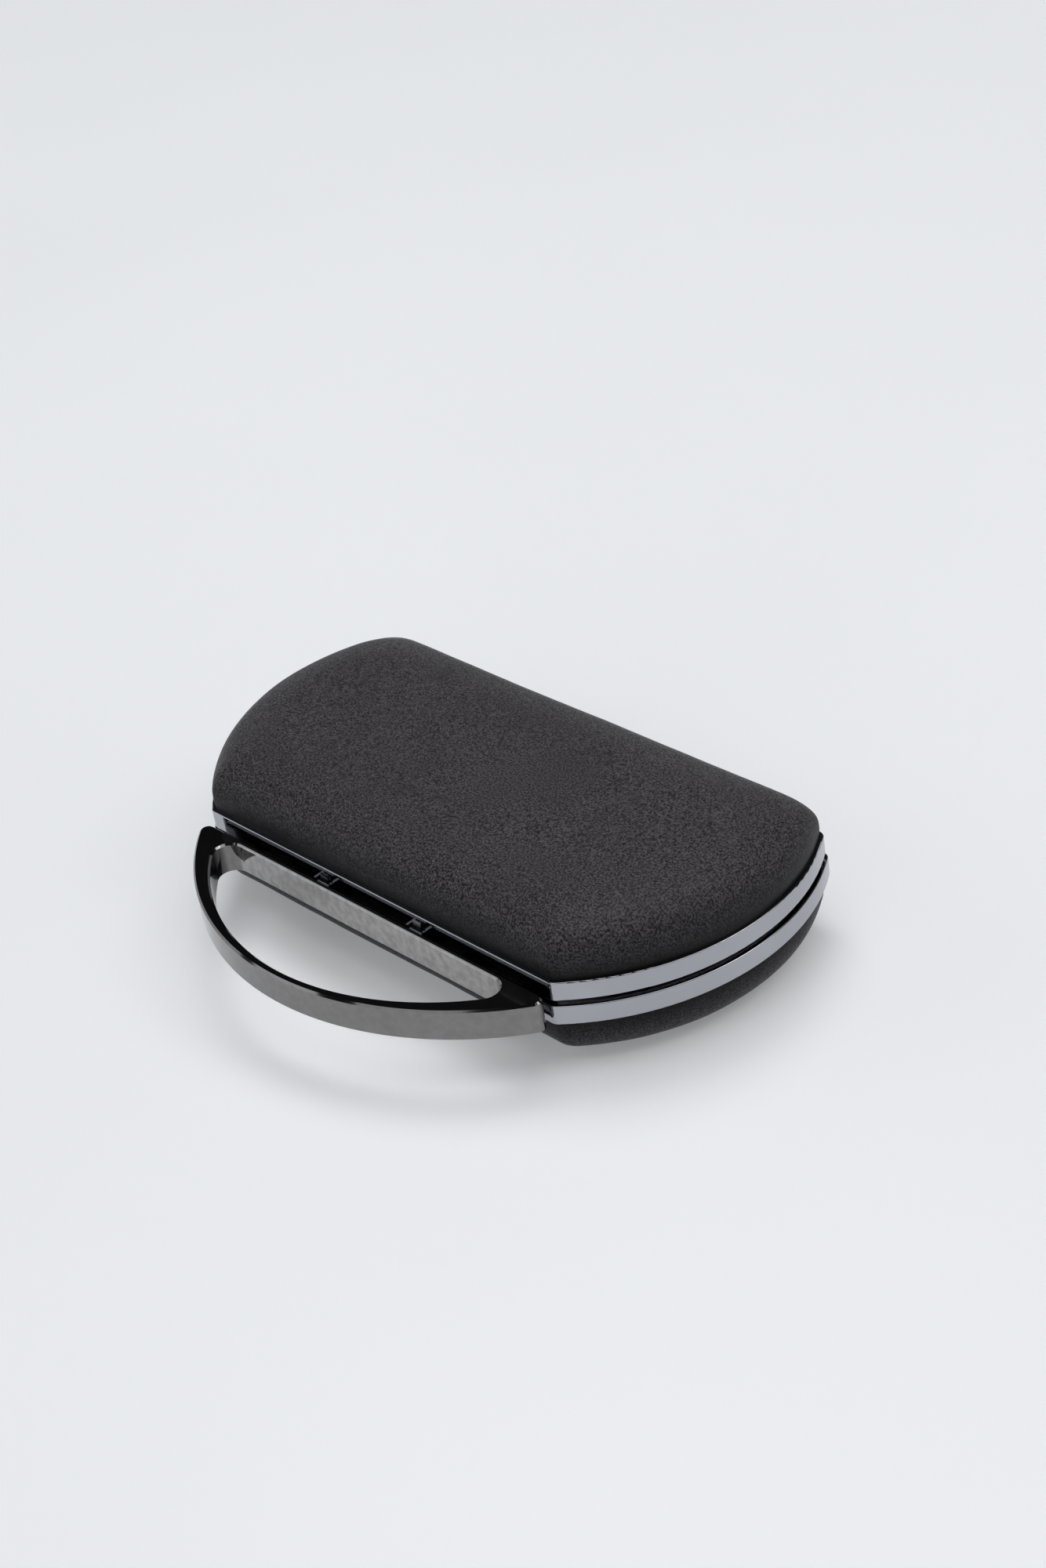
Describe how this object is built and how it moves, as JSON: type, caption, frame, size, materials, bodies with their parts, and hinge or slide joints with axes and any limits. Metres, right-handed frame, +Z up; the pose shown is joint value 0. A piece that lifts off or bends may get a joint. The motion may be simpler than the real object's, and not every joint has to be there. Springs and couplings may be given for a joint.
{
  "type": "clutch purse",
  "caption": "Hard-shell evening clutch with two satin-covered half shells in metal frames, a back hinge, sprung catches and a D-shaped metal top handle.",
  "frame": {"origin": "on the resting face under the middle of the whole purse, lying on its back shell", "axes": "+X along the hinge, the long way across the case; +Y from the handle to the hinge; +Z up through the base shell, the parting plane and the lid"},
  "size_m": [0.1912, 0.1338, 0.0436],
  "materials": {
    "satin": "charcoal duchess satin, soft sheen",
    "lining": "matte woven lining",
    "shell_board": "moulded shell, matt",
    "gunmetal": "polished gunmetal plating",
    "handle_metal": "polished gunmetal plating",
    "dark_metal": "dark polished plating",
    "steel": "plain steel"
  },
  "bodies": {
    "base": {"base_cover": "satin", "base_shell": "shell_board", "base_lining": "lining", "base_frame": "gunmetal", "base_retaining_ring": "dark_metal", "closing_lip": "dark_metal", "handle": "handle_metal", "handle_lugs": "dark_metal", "handle_screws": "steel", "hinge_base_leaf": "gunmetal", "hinge_base_rivets": "gunmetal", "hinge_pin": "steel"},
    "lid": {"lid_cover": "satin", "lid_shell": "shell_board", "lid_lining": "lining", "lid_frame": "gunmetal", "lid_retaining_ring": "dark_metal", "hinge_lid_leaf": "gunmetal", "hinge_lid_rivets": "gunmetal", "catch_brackets": "dark_metal", "catch_pins": "steel"},
    "catch_left": {"catch_tab_left": "dark_metal", "catch_spring_left": "steel"},
    "catch_right": {"catch_tab_right": "dark_metal", "catch_spring_right": "steel"}
  },
  "joints": [
    {"name": "lid_hinge", "type": "hinge", "parent": "base", "child": "lid", "pos_m": [0, 0.0647, 0.0218], "axis": [-1, 0, 0], "range_deg": [0, 95]},
    {"name": "catch_left_press", "type": "hinge", "parent": "lid", "child": "catch_left", "pos_m": [-0.019, -0.02985, 0.0237], "axis": [-1, 0, 0], "range_deg": [0, 4], "stiffness_Nm_per_rad": 0.01},
    {"name": "catch_right_press", "type": "hinge", "parent": "lid", "child": "catch_right", "pos_m": [0.019, -0.02985, 0.0237], "axis": [-1, 0, 0], "range_deg": [0, 4], "stiffness_Nm_per_rad": 0.01}
  ]
}
